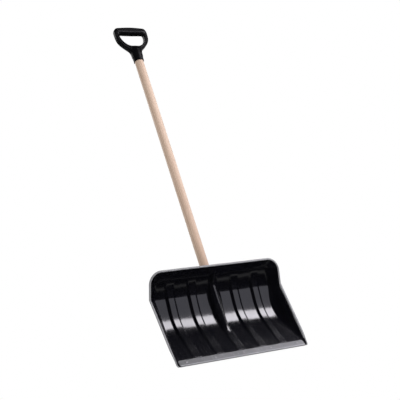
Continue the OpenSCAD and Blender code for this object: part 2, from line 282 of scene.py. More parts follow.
def blade_material():
    m = Mat("moulded_black_plastic")
    z = m.axis("Z")
    # the attribute holds wear, and values above 1 on the lip for the painted highlight of the rim
    wear = m.attribute("wear")
    # the floor of the scoop is rubbed dull by snow and grit, the back panel stays glossy
    dull = m.remap(z, 0.045, 0.125, 1.0, 0.0)
    cloud = m.noise(22.0, 4.0)
    fine = m.noise(1500.0, 2.0, 0.6)
    # long thin scratches up the floor, mostly in the direction the snow slides
    scr_a = m.noise(1.0, 2.0, 0.5, m.scaled((650.0, 18.0, 18.0), rot=(0, 0, 0.02)))
    scr_b = m.noise(1.0, 2.0, 0.5, m.scaled((480.0, 30.0, 30.0), (4.0, 1.0, 2.0), (0.0, 0.12, 0.05)))
    scratch = m.math("MAXIMUM", m.remap(scr_a, 0.62, 0.70, 0.0, 1.0), m.remap(scr_b, 0.64, 0.72, 0.0, 1.0))
    scratch = m.math("MULTIPLY", scratch, m.math("ADD", m.math("MULTIPLY", dull, 0.75), 0.12))
    worn = m.math("MULTIPLY", wear, m.remap(m.noise(160.0, 4.0, 0.65), 0.35, 0.62, 0.15, 1.0))
    col = m.mix(cloud, (0.0020, 0.0020, 0.0038), (0.0034, 0.0034, 0.0044))
    col = m.mix(m.math("MULTIPLY", dull, 0.7), col, (0.0044, 0.0044, 0.0064))
    col = m.mix(m.math("MULTIPLY", scratch, 0.20), col, (0.040, 0.040, 0.042))
    col = m.mix(m.math("MULTIPLY", worn, 0.55), col, (0.040, 0.040, 0.042))
    # the lip's edge is rubbed matt all round, and its light grey is a painted highlight of the rim's bright edge
    lip_rub_and_highlight = m.remap(wear, 1.0, 2.0, 0.0, 1.0)
    lip_painted_highlight = m.math("MULTIPLY", lip_rub_and_highlight, m.remap(m.noise(240.0, 4.0, 0.65), 0.3, 0.7, 0.72, 1.0))
    col = m.mix(lip_painted_highlight, col, (0.225, 0.225, 0.233))
    rough = m.remap(cloud, 0.3, 0.7, 0.13, 0.18)
    rough = m.math("ADD", rough, m.math("MULTIPLY", lip_rub_and_highlight, 0.22))
    rough = m.math("ADD", rough, m.math("MULTIPLY", dull, 0.02))
    rough = m.math("ADD", rough, m.math("MULTIPLY", scratch, 0.10))
    rough = m.math("ADD", rough, m.math("MULTIPLY", worn, 0.16), True)
    # faint sink marks and ripples of the moulding, the grain of the mould, then scratches
    nor = m.bump(m.noise(38.0, 3.0, 0.5), 0.0009, 0.30)
    nor = m.bump(m.math("MULTIPLY", fine, m.math("ADD", m.math("MULTIPLY", dull, 0.5), 0.25)), 0.00010, 0.45, nor)
    nor = m.bump(scratch, 0.00010, -0.5, nor)
    return m.set(Base_Color=col, Roughness=rough, Normal=nor, Specular_IOR_Level=0.65)


def grip_material():
    m = Mat("satin_black_plastic")
    wear = m.attribute("wear")
    cloud = m.noise(45.0, 4.0)
    grain = m.voronoi(1500.0)
    fine = m.noise(2200.0, 2.0, 0.6)
    worn = m.math("MULTIPLY", wear, m.remap(m.noise(210.0, 4.0, 0.65), 0.35, 0.65, 0.1, 1.0))
    col = m.mix(cloud, (0.0022, 0.0022, 0.0026), (0.0044, 0.0044, 0.0050))
    col = m.mix(m.math("MULTIPLY", worn, 0.30), col, (0.040, 0.040, 0.043))
    rough = m.remap(cloud, 0.3, 0.7, 0.32, 0.39)
    rough = m.math("ADD", rough, m.math("MULTIPLY", worn, -0.06), True)
    nor = m.bump(m.noise(60.0, 3.0, 0.5), 0.0007, 0.25)
    nor = m.bump(grain, 0.00014, 0.35, nor)
    nor = m.bump(fine, 0.00008, 0.35, nor)
    # hairline of the mould's parting plane, round the middle of the grip
    y = m.math("ABSOLUTE", m.math("SUBTRACT", m.axis("Y"), 0.063))
    nor = m.bump(m.remap(y, 0.00015, 0.00050, 1.0, 0.0), 0.00018, 0.6, nor)
    return m.set(Base_Color=col, Roughness=rough, Normal=nor, Specular_IOR_Level=0.11)


def wood_material():
    m = Mat("pale_sanded_wood")
    # growth rings cut lengthways: long, nearly straight bands that wander a little
    bend = m.scaled((1.0, 1.0, 0.045), (0.03, 0.0, 0.0), (0.0, 0.02, 0.0))
    band = m.wave(95.0, 4.2, 3.0, 1.3, bend, "X")
    wide = m.noise(1.0, 3.0, 0.55, m.scaled((46.0, 46.0, 1.6)))
    fibre = m.noise(1.0, 4.0, 0.65, m.scaled((1150.0, 1150.0, 16.0)))
    streak = m.noise(1.0, 3.0, 0.6, m.scaled((330.0, 330.0, 4.5), (2.0, 5.0, 1.0)))
    pore = m.remap(m.noise(1.0, 2.0, 0.5, m.scaled((1700.0, 1700.0, 55.0), (7.0, 3.0, 1.0))), 0.63, 0.70, 0.0, 1.0)
    flecks = m.remap(m.noise(1.0, 2.0, 0.5, m.scaled((520.0, 520.0, 60.0), (1.0, 8.0, 2.0))), 0.66, 0.74, 0.0, 1.0)
    tone = m.math("ADD", m.math("MULTIPLY", band, 0.30), m.math("MULTIPLY", wide, 0.42))
    tone = m.math("ADD", tone, m.math("MULTIPLY", streak, 0.30))
    col = m.ramp(tone, [(0.22, (0.400, 0.276, 0.198)), (0.45, (0.520, 0.384, 0.290)), (0.62, (0.600, 0.462, 0.364)),
                        (0.82, (0.670, 0.538, 0.440))])
    col = m.mix(m.math("MULTIPLY", fibre, 0.22), col, (0.330, 0.205, 0.130))
    col = m.mix(m.math("MULTIPLY", pore, 0.45), col, (0.230, 0.130, 0.080))
    col = m.mix(m.math("MULTIPLY", flecks, 0.22), col, (0.720, 0.580, 0.460))
    # handled darker near the grip, and soiled darker near the blade
    z = m.axis("Z")
    hands = m.math("MULTIPLY", m.remap(z, 0.98, 1.14, 0.0, 1.0), m.remap(m.noise(30.0, 4.0, 0.6), 0.35, 0.65, 0.2, 1.0))
    col = m.mix(m.math("MULTIPLY", hands, 0.16), col, (0.300, 0.185, 0.115))
    low = m.remap(z, 0.30, 0.80, 1.0, 0.0)
    col = m.mix(m.math("MULTIPLY", low, 0.24), col, (0.330, 0.200, 0.130))
    rough = m.remap(fibre, 0.3, 0.7, 0.52, 0.66)
    h = m.math("ADD", m.math("MULTIPLY", fibre, 0.6), m.math("MULTIPLY", band, 0.25))
    nor = m.bump(h, 0.00022, 0.45)
    nor = m.bump(pore, 0.00018, -0.5, nor)
    return m.set(Base_Color=col, Roughness=rough, Normal=nor, Specular_IOR_Level=0.35)


def strip_material():
    m = Mat("scuffed_mill_aluminium")
    roll = m.noise(1.0, 3.0, 0.6, m.scaled((9.0, 900.0, 900.0)))
    cloud = m.noise(34.0, 4.0, 0.6)
    scr = m.remap(m.noise(1.0, 2.0, 0.5, m.scaled((420.0, 60.0, 60.0), (3.0, 1.0, 4.0), (0.2, 0.0, 0.4))), 0.63, 0.70, 0.0, 1.0)
    wear = m.attribute("wear")
    col = m.mix(cloud, (0.165, 0.167, 0.172), (0.225, 0.227, 0.234))
    col = m.mix(m.math("MULTIPLY", scr, 0.5), col, (0.400, 0.400, 0.405))
    col = m.mix(m.math("MULTIPLY", wear, 0.35), col, (0.330, 0.332, 0.340))
    rough = m.remap(cloud, 0.3, 0.7, 0.27, 0.33)
    rough = m.math("ADD", rough, m.math("MULTIPLY", roll, 0.08), True)
    nor = m.bump(roll, 0.00006, 0.35)
    nor = m.bump(m.noise(120.0, 3.0, 0.6), 0.0003, 0.35, nor)
    nor = m.bump(scr, 0.00010, -0.5, nor)
    # a dull oxide skin over the metal
    return m.set(Base_Color=col, Roughness=rough, Normal=nor, Metallic=0.45)


def rivet_material():
    m = Mat("satin_rivet_aluminium")
    cloud = m.noise(260.0, 4.0, 0.6)
    col = m.mix(cloud, (0.200, 0.200, 0.206), (0.270, 0.270, 0.276))
    rough = m.remap(cloud, 0.3, 0.7, 0.40, 0.50)
    nor = m.bump(m.noise(700.0, 3.0, 0.6), 0.00012, 0.4)
    return m.set(Base_Color=col, Roughness=rough, Normal=nor, Metallic=0.45)


def screw_material():
    m = Mat("zinc_plated_steel")
    cloud = m.noise(320.0, 4.0, 0.6)
    col = m.mix(cloud, (0.430, 0.430, 0.440), (0.620, 0.615, 0.600))
    rough = m.remap(cloud, 0.3, 0.7, 0.24, 0.40)
    nor = m.bump(m.noise(1400.0, 3.0, 0.6), 0.00006, 0.4)
    return m.set(Base_Color=col, Roughness=rough, Normal=nor, Metallic=0.7)


# ---------------------------------------------------------------------------------------------
# the scoop: one moulded sheet with ribs, hump, hood, side walls and rim bead
# ---------------------------------------------------------------------------------------------
T = 3.6
STRIP_T, STRIP_W, STRIP_HALF = 1.2, 24.0, 236.0
FOLD_R = (T + 0.1) / 2 + STRIP_T
dF = np.array([math.sin(FLOOR_A), math.cos(FLOOR_A)])
nF = np.array([-math.cos(FLOOR_A), math.sin(FLOOR_A)])
LEAN = RAD(8.0)
dP = np.array([-math.sin(LEAN), math.cos(LEAN)])
FLOOR0 = dF * 1.4 + nF * (STRIP_T + 0.05 + T)
CREASE = np.array([64.3, 245.0])
SCOOP_R, HOOD_R = 150.0, 90.0
den = dF[0] * dP[1] - dF[1] * dP[0]
KNEE_S = ((CREASE[0] - FLOOR0[0]) * dP[1] - (CREASE[1] - FLOOR0[1]) * dP[0]) / den
BEND = FLOOR_A + LEAN
FLOOR_LEN = KNEE_S - SCOOP_R * math.tan(BEND / 2)
ARC_C = FLOOR0 + dF * FLOOR_LEN + nF * SCOOP_R
ARC_END = ARC_C - SCOOP_R * np.array([-math.cos(-LEAN), math.sin(-LEAN)])
U1 = FLOOR_LEN
U2 = U1 + SCOOP_R * BEND
U3 = U2 + float(np.linalg.norm(CREASE - ARC_END))
H0, H1 = RAD(12.0), RAD(75.0)
U4 = U3 + HOOD_R * (H1 - H0)


def profile(u):
    """(y, z) of the inner face at length u along it, from the front edge to the rim."""
    u = np.asarray(u, float)[..., None]
    a = FLOOR_A - (u - U1) / SCOOP_R
    on_floor = FLOOR0 + dF * u
    on_arc = ARC_C - SCOOP_R * np.concatenate([-np.cos(a), np.sin(a)], -1)
    on_panel = ARC_END + dP * (u - U2)
    h = H0 + (u - U3) / HOOD_R
    on_hood = CREASE + HOOD_R * np.concatenate([np.cos(h) - math.cos(H0), np.sin(h) - math.sin(H0)], -1)
    return np.where(u < U1, on_floor, np.where(u < U2, on_arc, np.where(u < U3, on_panel, on_hood)))


RIM_FRONT = np.array([244.5, *FLOOR0])
RIM_KINK = np.array([247.5, 36.5, 239.0])
RIM_TOP = np.array([241.5, *(CREASE + HOOD_R * np.array([math.cos(H1) - math.cos(H0), math.sin(H1) - math.sin(H0)]))])
RIM_UP = (RIM_TOP - RIM_KINK) / np.linalg.norm(RIM_TOP - RIM_KINK)
CORNER_R = 37.0
CORNER_0 = RIM_TOP - CORNER_R * RIM_UP
CORNER_C = CORNER_0 - np.array([CORNER_R, 0, 0])


def rim_line(u):
    """The line along the right rim, where the sheet ends and the bead begins."""
    p = profile(u)
    t = ((p[:, 1] - FLOOR0[1]) / (CREASE[1] - FLOOR0[1]))[:, None]
    low = RIM_FRONT + (RIM_KINK - RIM_FRONT) * t
    low[:, 0] -= 4.0 * np.clip(1 - u / 9.0, 0, 1) ** 2.6
    k = (u - U3) / (U4 - U3) * 10.0
    mid = RIM_KINK + (CORNER_0 - RIM_KINK) * (k / 4.0)[:, None]
    a = np.radians(np.clip(90.0 * (k - 4.0) / 6.0, 0, 90))[:, None]
    top = CORNER_C + CORNER_R * (np.cos(a) * np.array([1.0, 0, 0]) + np.sin(a) * RIM_UP)
    return np.where((u <= U3)[:, None], low, np.where((k <= 4)[:, None], mid, top))


def spaced(a, b, step):
    n = max(1, int(round((b - a) / step)))
    return list(a + (b - a) * np.arange(n) / n)


ROWS = np.array([0.0, 0.6, 1.2, 2.0, 3.0, 4.5, 6.2] + spaced(8.0, 22.8, 2.4) + spaced(22.8, 30.0, 0.8)
                + spaced(30.0, U1, 2.4) + spaced(U1, U2, 2.1) + spaced(U2, U3 - 3.0, 2.4)
                + spaced(U3 - 3.0, U3 + 9.0, 0.75) + spaced(U3 + 9.0, U4, 1.7) + [U4])
PROF = profile(ROWS)
RIM = rim_line(ROWS)
N_ROW = len(ROWS)
TUBE_R = 19.25
flat = spaced(0.0, 6.0, 1.0) + spaced(6.0, 25.0, 0.62) + spaced(25.0, 41.0, 1.1)
flat += spaced(41.0, 62.0, 3.0)
for xc in (81.5, 163.0):
    flat += spaced(xc - 19.5, xc - 6.0, 0.72) + spaced(xc - 6.0, xc + 6.0, 2.4) + spaced(xc + 6.0, xc + 19.5, 0.72)
    if xc < 100:
        flat += spaced(xc + 19.5, 163.0 - 19.5, 3.0)
flat += [182.5]
HALF = np.array(flat)
N_OUT, N_WALL = 6, 30


def half_sheet():
    """Points of the right half of the inner face, without ribs, by row and column."""
    depth = np.hypot(PROF[:, 0] - RIM[:, 1], PROF[:, 1] - RIM[:, 2])
    foot = RIM[:, 0] - depth * math.tan(RAD(30.0))
    edge = foot - 0.56 * (4 + 0.09 * PROF[:, 1])
    cols = []
    for x in HALF:
        cols.append(np.stack([np.full(N_ROW, x), PROF[:, 0], PROF[:, 1]], 1))
    for k in range(1, N_OUT + 1):
        x = HALF[-1] + (edge - HALF[-1]) * k / N_OUT
        cols.append(np.stack([x, PROF[:, 0], PROF[:, 1]], 1))
    e = np.stack([edge, PROF[:, 0], PROF[:, 1]], 1)
    m = np.stack([foot, PROF[:, 0], PROF[:, 1]], 1)
    for k in range(1, N_WALL + 1):
        t = k / N_WALL
        cols.append(e * (1 - t) ** 2 + m * 2 * t * (1 - t) + RIM * t * t)
    return np.stack(cols, 1)


right = half_sheet()
left = right[:, :0:-1].copy()
left[..., 0] *= -1
BASE = np.concatenate([left, right], 1)
N_COL = BASE.shape[1]
MID = right.shape[1] - 1
N_FLAT = len(HALF)


def grid_normals(p, si, sj):
    i = np.arange(p.shape[0])
    j = np.arange(p.shape[1])
    du = p[:, np.minimum(j + sj, p.shape[1] - 1)] - p[:, np.maximum(j - sj, 0)]
    dv = p[np.minimum(i + si, p.shape[0] - 1)] - p[np.maximum(i - si, 0)]
    return unit(np.cross(du, dv))


NOR = grid_normals(BASE, 1, 1)
# on the walls the frame turns smoothly round the rounded corner
wall = np.abs(np.arange(N_COL) - MID) >= N_FLAT + N_OUT
w_n = NOR[:, wall].copy()
w_n[-1] = w_n[-2]
kern = np.exp(-0.5 * (np.arange(-9, 10) / 4.0) ** 2)
kern /= kern.sum()
pad = np.concatenate([np.repeat(w_n[:1], 9, 0), w_n, np.repeat(w_n[-1:], 9, 0)], 0)
soft = unit(sum(k * pad[n:n + N_ROW] for n, k in enumerate(kern)))
turn = smoothstep(ROWS, U3 - 25.0, U3 + 5.0)[:, None, None]
# towards the end of the corner the wall has faded into the hood
last = unit(np.cross([1.0, 0, 0], np.array([0.0, *(np.array([-math.sin(H1), math.cos(H1)]))])))
fade = smoothstep(ROWS, U4 - 34.0, U4)[:, None, None]
soft = unit(soft * (1 - fade) + last * fade)
NOR[:, wall] = unit(w_n * (1 - turn) + soft * turn)

# ribs
S_LEN = (PROF - FLOOR0) @ dF
rib_h = 6.0 * (0.30 + 0.70 * smoothstep(S_LEN, 25, 150)) * smoothstep(ROWS, 23.2, 24.7) \
    * (1 - smoothstep(ROWS, U3 + 6.0, U3 + 60.0))
X = BASE[..., 0]
across = np.zeros_like(X)
for xc in (0.0, 81.5, 163.0):
    across = np.maximum(across, smooth_clamp((17.5 - np.abs(np.abs(X) - xc)) / 7.0, 0.20))
LIFT = across * rib_h[:, None]


def tube_field(p, less=0.0, power=2.0):
    """Distance to the socket's tube and to the hump that tapers off below it, made thinner by less.

    A power under 2 gives the section a blunt keel along its middle."""
    t = smooth_clamp((p[..., 2] - 92.0) / 120.0, 0.06)
    r = 8.0 + (TUBE_R - 8.0) * t
    y = np.abs(p[..., 1] - (45.5 + 8.0 + 12.5 * t))
    return (np.abs(p[..., 0]) ** power + y ** power) ** (1 / power) - r + less


def hood_arc(k):
    a = H0 + (H1 - H0) * k / 10.0
    return CREASE + HOOD_R * np.array([math.cos(a) - math.cos(H0), math.sin(a) - math.sin(H0)])


RIDGE_A = hood_arc(3.6) - np.array([-math.cos(RAD(38)), -math.sin(RAD(38))]) * 4
RIDGE_B = hood_arc(8.4) - np.array([-math.cos(RAD(65)), -math.sin(RAD(65))]) * 4


def ridge_field(p):
    """Distance to the tapering ridge that carries the socket's hump up into the hood."""
    a = np.array([0, *RIDGE_A])
    v = np.array([0, *(RIDGE_B - RIDGE_A)])
    t = np.clip(((p - a) @ v) / (v @ v), 0, 1)
    d = np.linalg.norm(p - a - t[..., None] * v, axis=-1)
    return d - (10.0 - 4.0 * t)


def march(base, nor, field, top, steps, floor=-0.5):
    """Outermost height along nor at which field changes sign."""
    hs = np.linspace(top, floor, steps)
    lo = np.full(base.shape[:-1], floor)
    hi = np.full(base.shape[:-1], floor)
    done = np.zeros(base.shape[:-1], bool)
    for n in range(1, steps):
        f = field(base + nor * hs[n], hs[n])
        hit = (f < 0) & ~done
        lo[hit], hi[hit] = hs[n], hs[n - 1]
        done |= hit
    for _ in range(14):
        mid = 0.5 * (lo + hi)
        inside = field(base + nor * mid[..., None], mid) < 0
        lo = np.where(inside, mid, lo)
        hi = np.where(inside, hi, mid)
    return 0.5 * (lo + hi)


near = np.abs(X[0]) <= 44.5
b_n, n_n = BASE[:, near], NOR[:, near]
RIB_N = LIFT[:, near]
foot_k = (9.0 - 2.0 * smoothstep(PROF[:, 1], 236, 262))[:, None]


def front_field(p, h):
    """The ribbed sheet, the hump with its wide foot and the ridge in the hood, run together."""
    return smin(smin(h - RIB_N, tube_field(p, 0.0, 1.6), foot_k), ridge_field(p), 6.0)


LIFT_IN = LIFT.copy()
LIFT_IN[:, near] = np.maximum(RIB_N, march(b_n, n_n, front_field, 40.0, 140))

# behind the sheet the socket stands out as a tube of its own and the sheet only carries its root fillet;
# below the tube the hump is hollow, a shell as thick as the sheet
LIFT_OUT = LIFT - T
back_k = np.clip(7.0 - 5.5 * smoothstep(PROF[:, 1], 225, 246), 1.5, 7.0)
rows_b = (PROF[:, 1] < 247.0) & (PROF[:, 1] >= 202.0)
grow = march(b_n[rows_b] - n_n[rows_b] * T, -n_n[rows_b],
             lambda p, h: smin(h + 0 * p[..., 0], tube_field(p, 0.25), back_k[rows_b][:, None]), 34.0, 120)
shell = march(b_n, n_n, lambda p, h: front_field(p, h) + T, 40.0, 140, -T - 0.5)
tmp = LIFT_OUT[:, near]
tmp[rows_b] = tmp[rows_b] - np.maximum(0, grow)
rows_c = PROF[:, 1] < 202.0
tmp[rows_c] = np.maximum(tmp[rows_c], shell[rows_c])
LIFT_OUT[:, near] = tmp

# very slight waviness of a big thin moulding
wav = 0.18 * np.sin(X / 61.0 + 0.7) * np.sin(BASE[..., 2] / 47.0 + 0.4) + 0.10 * np.sin(X / 23.0 + BASE[..., 2] / 31.0)
wav *= smoothstep(ROWS, 28, 60)[:, None]
INNER = BASE + NOR * (LIFT_IN + wav)[..., None]
OUTER = BASE + NOR * (LIFT_OUT + wav)[..., None]
# the sheet's back face stops in front of the shaft
shaft_front = AXIS_Y - np.sqrt(np.maximum(16.25 ** 2 - OUTER[:, :, 0] ** 2, 0.0))
in_bore = (np.abs(OUTER[:, :, 0]) < 16.25) & (OUTER[:, :, 2] > 203.5)
OUTER[:, :, 1] = np.where(in_bore, np.minimum(OUTER[:, :, 1], np.maximum(shaft_front, INNER[:, :, 1] + 0.3)), OUTER[:, :, 1])

# rim bead, carried up the left side, along the top and down the right side
ring = [(i, 0) for i in range(N_ROW)] + [(N_ROW - 1, j) for j in range(1, N_COL - 1)] \
    + [(i, N_COL - 1) for i in range(N_ROW - 1, -1, -1)]
ri = np.array([r[0] for r in ring])
rj = np.array([r[1] for r in ring])
R_P = BASE[ri, rj] + NOR[ri, rj] * wav[ri, rj][:, None]
R_N = NOR[ri, rj]
n_ring = len(ring)
k = np.arange(n_ring)
R_D = unit(R_P[np.minimum(k + 1, n_ring - 1)] - R_P[np.maximum(k - 1, 0)])
R_O = unit(np.cross(R_N, R_D))
R_B = T + 0.4 + 2.2 * np.clip((R_P[:, 2] - 26) / 34, 0, 1)


def bead_section(b, draft):
    """(outward, back) points of the bead's section, b thick, from the inner face to the outer face.

    draft is how much further out the lip's edge stands at its back than at its front."""
    r1, r2, r3 = 1.0, 1.15, 0.55
    f, lean = 4.0 - draft, math.degrees(math.atan2(draft, b))
    pts = [(min(1.0, f - r1 - 0.05), 0.0)]
    pts += [(f - r1 + r1 * math.cos(RAD(a)), r1 - r1 * math.sin(RAD(a))) for a in np.linspace(90, lean, 6)]
    pts += [(f + 0.55 * draft, 0.5 * b)]
    pts += [(4 - r2 + r2 * math.cos(RAD(a)), b - r2 + r2 * math.sin(RAD(a))) for a in np.linspace(0, 90, 6)]
    pts += [(1.8, b)]
    pts += [(r3 - r3 * math.cos(RAD(a)), b - r3 + r3 * math.sin(RAD(a))) for a in np.linspace(90, 0, 4)]
    return np.array(pts)


n_sec = len(bead_section(5.0, 1.0))
# the lip's edge is drafted forward along the sides, and nearly square along the top
draft_r = 0.15 + 1.95 * (1 - smoothstep(R_P[:, 2], 268, 306))
sec_b = np.linspace(T + 0.3, T + 3, 28)
sec = np.stack([bead_section(b, 0.15) for b in sec_b])
sec_w = np.stack([bead_section(b, 2.1) for b in sec_b])
BEAD = np.zeros((n_ring, n_sec, 3))
for s in range(n_sec):
    k = (draft_r - 0.15) / 1.95
    o = (1 - k) * np.interp(R_B, sec_b, sec[:, s, 0]) + k * np.interp(R_B, sec_b, sec_w[:, s, 0])
    b = (1 - k) * np.interp(R_B, sec_b, sec[:, s, 1]) + k * np.interp(R_B, sec_b, sec_w[:, s, 1])
    o = o * (0.30 + 0.70 * smoothstep(R_P[:, 2], 6, 50))
    BEAD[:, s] = R_P + R_O * o[:, None] - R_N * b[:, None]
# the top rim stands a hair straighter than the sheet: no step at the fold of the corner
verts = np.concatenate([INNER.reshape(-1, 3), OUTER.reshape(-1, 3), BEAD.reshape(-1, 3)])
n_grid = N_ROW * N_COL
faces = grid_faces(N_ROW, N_COL, 0) + grid_faces(N_ROW, N_COL, n_grid, True)


def bead_index(r, s):
    if s == 0:
        return ri[r] * N_COL + rj[r]
    if s == n_sec + 1:
        return n_grid + ri[r] * N_COL + rj[r]
    return 2 * n_grid + r * n_sec + s - 1


for r in range(n_ring - 1):
    for s in range(n_sec + 1):
        faces.append([bead_index(r, s), bead_index(r, s + 1), bead_index(r + 1, s + 1), bead_index(r + 1, s)])
for j in range(N_COL - 1):
    faces.append([j, j + 1, n_grid + j + 1, n_grid + j])
faces.append([int(bead_index(0, n_sec + 1 - s)) for s in range(n_sec + 2)])
faces.append([int(bead_index(n_ring - 1, s)) for s in range(n_sec + 2)])
faces = [[int(v) for v in f] for f in faces]
# wear and a painted highlight: the bead's outer edge carries the painted highlight, the hump's crest and the crests of
# the ribs low on the floor carry wear
wear_in = 0.12 * smoothstep(LIFT_IN, 8, 20) * (np.abs(X) < 24) + 0.12 * across * (1 - smoothstep(ROWS, 60, 120))[:, None]
wear_in += 0.25 * (1 - smoothstep(ROWS, 24, 34))[:, None]
wear_bead = np.zeros((n_ring, n_sec))
# 2 marks the lip's painted highlight, lower values are wear
wear_bead[:, 0:11] = 2.0
wear_bead[:, 11:14] = 0.6
# the painted highlight of the rim's edge reaches a little way down the inner faces of the side walls
d_edge = np.minimum(np.linalg.norm(INNER - INNER[:, :1], axis=2), np.linalg.norm(INNER - INNER[:, -1:], axis=2))
rim_highlight_in = 2.0 * (1 - smoothstep(d_edge, 2.2, 4.2)) * (1 - smoothstep(INNER[:, :, 2], 225, 245)) * smoothstep(INNER[:, :, 2], 24, 30)
wear_in = np.maximum(np.clip(wear_in, 0, 1), rim_highlight_in)
wear = np.concatenate([wear_in.ravel(), np.zeros(n_grid), wear_bead.ravel()])

BLACK = blade_material()
scoop = make_piece("scoop_sheet", verts, faces, BLACK, "blade", sharp=48, wear=wear)


# --- shaft socket, a tube behind the sheet ----------------------------------------------------
def upright(x, y, z):
    return (x, AXIS_Y + y, z)


prof = [(0, 200.0)] + arc(TUBE_R - 1.0, 201.0, 1.0, -90, 0, 6) + [(TUBE_R, z) for z in np.linspace(203, 296, 24)]
prof += arc(TUBE_R - 1.0, 299.0, 1.0, 0, 90, 6) + arc(16.9, 299.2, 0.8, 90, 180, 5) + [(16.1, 297.5), (16.1, 250.0), (16.1, 204.0), (0, 204.0)]
v, f = lathe(prof, 96, upright)
wear_t = 0.6 * ((v[:, 2] > 297.2) & (np.hypot(v[:, 0], v[:, 1] - AXIS_Y) > 18))
make_piece("shaft_socket", v, f, BLACK, "blade", sharp=50, wear=wear_t)

# boss under the socket's screw
prof = [(11.5, 14.9), (9.8, 18.0), (8.6, 18.5), (7.9, 18.95), (7.55, 19.65), (7.5, 20.35)] + arc(6.6, 20.35, 0.9, 0, 90, 6) + [(4.2, 21.25), (2.3, 21.25), (2.3, 15.8)]
v, f = lathe(prof, 64, lambda x, y, h: (x, AXIS_Y + h, 232.0 + y))
# the boss' foot follows the tube
rad = np.hypot(v[:, 0], v[:, 2] - 232.0)
tube_y = AXIS_Y + np.sqrt(np.maximum(TUBE_R ** 2 - v[:, 0] ** 2, 0)) - 0.15
foot = rad > 7.6
v[foot, 1] = np.where(rad[foot] > 9, tube_y[foot] - 0.6 * (rad[foot] > 10), np.maximum(v[foot, 1] - 0.2, tube_y[foot] + 0.15))
make_piece("socket_screw_boss", v, [q[::-1] for q in f], BLACK, "blade", sharp=50, wear=np.zeros(len(v)))


# --- fins from the socket to the back of the panel ------------------------------------------
def back_y(z):
    z = np.asarray(z, float)
    on_arc = ARC_C[0] + np.sqrt(SCOOP_R ** 2 - (z - ARC_C[1]) ** 2)
    t = (CREASE[1] - z) / (CREASE[1] - ARC_END[1])
    return np.where(z < ARC_END[1], on_arc, CREASE[0] + (ARC_END[0] - CREASE[0]) * t)


def flare(d, f):
    """Half width that a foot of radius f adds at distance d from the wall it stands on."""
    d = np.clip(d, 0, f)
    return f - np.sqrt(np.maximum(2 * f * d - d * d, 0))


def fin(z0, sx):
    xs = np.concatenate([np.linspace(12, 18, 4), np.linspace(19.0, 28, 14), np.linspace(29.5, 62, 24)])
    foot_y = float(back_y(z0)) + T + 0.05
    pts = []
    for x in xs:
        edge = 81.4 if x < 15.0 else 81.4 + (foot_y + 0.55 - 81.4) * (x - 15.0) / (58.0 - 15.0)
        edge -= 0.22 * max(0.0, x - 56.0) ** 1.3
        low = foot_y - 1.6
        top = max(edge, low + 0.4)
        round_r = min(1.2, 0.45 * (top - low))
        side = list(np.linspace(low, foot_y + 3.2, 9)) + list(np.linspace(foot_y + 4.2, max(top - round_r, foot_y + 4.3), 6))
        side = [min(s, top - round_r) for s in side]
        row = []
        for s in side:
            d_wall = s - foot_y
            d_tube = math.hypot(x, s - AXIS_Y) - TUBE_R
            row.append((1.8 - 0.012 * max(0, s - foot_y) + float(flare(d_wall, 2.6)) * min(1.0, max(0.0, (edge - foot_y - 0.5) / 3.0)) + float(flare(d_tube, 2.6)), s))
        w_top = row[-1][0]
        cap = [(w_top - round_r + round_r * math.cos(RAD(a)), top - round_r + round_r * math.sin(RAD(a))) for a in (22, 45, 68, 90)]
        half = row + cap
        ringp = [(w, y) for w, y in half] + [(-w, y) for w, y in half[::-1]]
        pts.append([(sx * x, y, z0 + w) for w, y in ringp])
    p = np.array(pts)
    # the panel leans, so the fin's foot follows it
    n_r = p.shape[1]
    f = grid_faces(p.shape[0], n_r, 0, sx < 0, True)
    f.append(list(range(n_r)) if sx < 0 else list(range(n_r))[::-1])
    f.append([(p.shape[0] - 1) * n_r + q for q in (range(n_r)[::-1] if sx < 0 else range(n_r))])
    v = p.reshape(-1, 3)
    v[:, 1] += (back_y(v[:, 2]) - back_y(z0)) * smoothstep(-(v[:, 1] - foot_y), -4.0, 0.0)
    return v, f


all_v, all_f, n0 = [], [], 0
for z0 in (208.0, 246.0):
    for sx in (-1, 1):
        v, f = fin(z0, sx)
        all_f += [[q + n0 for q in face] for face in f]
        all_v.append(v)
        n0 += len(v)
all_v = np.concatenate(all_v)
make_piece("socket_fins", all_v, all_f, BLACK, "blade", sharp=55, wear=np.zeros(len(all_v)))


# --- wear strip folded over the front edge ---------------------------------------------------
def on_sole(x, s, h):
    """Point x across, s back along the sole and h above it."""
    x, s, h = np.broadcast_arrays(np.asarray(x, float), s, h)
    return np.stack([x, dF[0] * s + nF[0] * h, dF[1] * s + nF[1] * h], -1)


